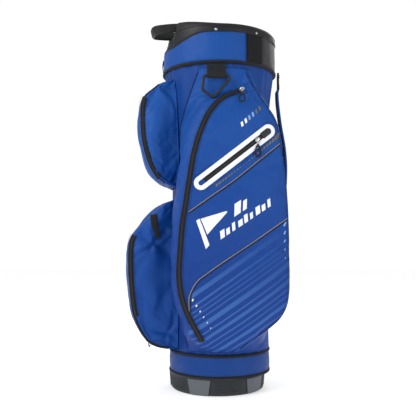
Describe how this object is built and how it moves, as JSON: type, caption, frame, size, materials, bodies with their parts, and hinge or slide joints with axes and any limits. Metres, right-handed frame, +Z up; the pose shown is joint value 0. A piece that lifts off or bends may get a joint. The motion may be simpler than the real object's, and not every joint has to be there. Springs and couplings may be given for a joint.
{
  "type": "golf cart bag",
  "caption": "Free-standing golf cart bag with moulded base and rim, divided fabric barrel, zipped side and front pockets, towel ring and carry strap.",
  "frame": {"origin": "middle of the barrel at the underside of the base", "axes": "+Z up, -Y the front with grab handle and front pockets, +Y the spine with carry strap, +X the side with the valuables zip"},
  "size_m": [0.371, 0.3978, 0.8985],
  "materials": {
    "blue_fabric": "woven coated nylon, satin",
    "black_trim": "webbing and binding tape, matt",
    "black_plastic": "moulded, fine grain",
    "grey_plastic": "moulded, satin",
    "grey_patch": "synthetic leather, fine grain",
    "divider_fabric": "brushed lining cloth",
    "white_frame": "welded film, smooth",
    "steel": "drawn rod",
    "slider_metal": "plated zinc"
  },
  "bodies": {
    "root": {"base_shell": "black_plastic", "base_trim_ring": "grey_plastic", "base_block_1": "grey_plastic", "base_block_2": "grey_plastic", "base_block_3": "grey_plastic", "base_block_4": "grey_plastic", "base_block_5": "grey_plastic", "lower_band": "blue_fabric", "binding_lower": "black_trim", "binding_upper": "black_trim", "barrel_near": "blue_fabric", "barrel_spine": "blue_fabric", "barrel_far": "blue_fabric", "barrel_front": "blue_fabric", "stay_near": "steel", "stay_far": "steel", "stay_front": "steel", "top_shell": "black_plastic", "collar_front": "blue_fabric", "collar_panel_near": "black_trim", "collar_patch": "grey_patch", "collar_panel_far": "black_trim", "collar_piping": "black_trim", "top_rim": "black_plastic", "front_handle": "black_plastic", "divider_row_1": "divider_fabric", "divider_row_2": "divider_fabric", "divider_row_3": "divider_fabric", "divider_web_1a": "divider_fabric", "divider_web_1b": "divider_fabric", "divider_web_2a": "divider_fabric", "divider_web_2b": "divider_fabric", "divider_web_2c": "divider_fabric", "divider_web_3a": "divider_fabric", "divider_web_3b": "divider_fabric", "divider_web_3c": "divider_fabric", "divider_web_4a": "divider_fabric", "divider_web_4b": "divider_fabric", "side_pocket_near": "blue_fabric", "side_pocket_far": "blue_fabric", "front_pocket_upper": "blue_fabric", "front_pocket_lower": "blue_fabric", "valuables_zip_frame": "white_frame", "valuables_zip_tape": "black_trim", "towel_ring_tab": "black_trim", "strap_anchor": "black_trim"},
    "towel_ring": {"towel_ring": "black_plastic"},
    "strap": {"carry_strap": "blue_fabric", "strap_clip": "black_plastic"},
    "side_near_slider": {"side_near_slider": "slider_metal"},
    "side_near_puller": {"side_near_puller": "black_trim"},
    "side_far_slider": {"side_far_slider": "slider_metal"},
    "side_far_puller": {"side_far_puller": "black_trim"},
    "valuables_slider": {"valuables_slider": "slider_metal"},
    "valuables_puller": {"valuables_puller": "black_trim"},
    "front_upper_slider": {"front_upper_slider": "slider_metal"},
    "front_upper_puller": {"front_upper_puller": "black_trim"},
    "front_lower_slider": {"front_lower_slider": "slider_metal"},
    "front_lower_puller": {"front_lower_puller": "black_trim"}
  },
  "joints": [
    {"name": "towel_ring_swing", "type": "hinge", "parent": "root", "child": "towel_ring", "pos_m": [0.146, -0.009, 0.745], "axis": [0, -1, 0], "range_deg": [0, 130]},
    {"name": "strap_swing", "type": "hinge", "parent": "root", "child": "strap", "pos_m": [0, 0.13075, 0.335], "axis": [0, 0.037, 0.9993], "range_deg": [-15, 15]},
    {"name": "side_near_zip", "type": "hinge", "parent": "root", "child": "side_near_slider", "pos_m": [0.14002, 0.09578, 0.56754], "axis": [0.9662, 0.2515, 0.0567], "range_deg": [0, 54]},
    {"name": "side_near_puller_lift", "type": "hinge", "parent": "side_near_slider", "child": "side_near_puller", "pos_m": [0.15153, 0.05012, 0.70888], "axis": [-0.0397, -0.9992, 0], "range_deg": [0, 80]},
    {"name": "side_far_zip", "type": "hinge", "parent": "root", "child": "side_far_slider", "pos_m": [-0.14002, 0.09578, 0.56754], "axis": [0.9662, -0.2515, -0.0567], "range_deg": [0, 54]},
    {"name": "side_far_puller_lift", "type": "hinge", "parent": "side_far_slider", "child": "side_far_puller", "pos_m": [-0.15153, 0.05012, 0.70888], "axis": [-0.0397, 0.9992, 0], "range_deg": [0, 80]},
    {"name": "valuables_zip", "type": "slide", "parent": "root", "child": "valuables_slider", "axis": [0.1643, -0.7731, -0.6126], "range_m": [0, 0.15]},
    {"name": "valuables_puller_lift", "type": "hinge", "parent": "valuables_slider", "child": "valuables_puller", "pos_m": [0.15608, 0.08634, 0.5873], "axis": [0.2079, -0.9781, 0], "range_deg": [0, 80]},
    {"name": "front_upper_zip", "type": "slide", "parent": "root", "child": "front_upper_slider", "axis": [0, 0, -1], "range_m": [0, 0.07]},
    {"name": "front_upper_puller_lift", "type": "hinge", "parent": "front_upper_slider", "child": "front_upper_puller", "pos_m": [-0.0989, -0.183, 0.6823], "axis": [0, 1, 0], "range_deg": [0, 80]},
    {"name": "front_lower_zip", "type": "slide", "parent": "root", "child": "front_lower_slider", "axis": [0, 0, -1], "range_m": [0, 0.06]},
    {"name": "front_lower_puller_lift", "type": "hinge", "parent": "front_lower_slider", "child": "front_lower_puller", "pos_m": [-0.0989, -0.211, 0.3423], "axis": [0, 1, 0], "range_deg": [0, 80]}
  ]
}
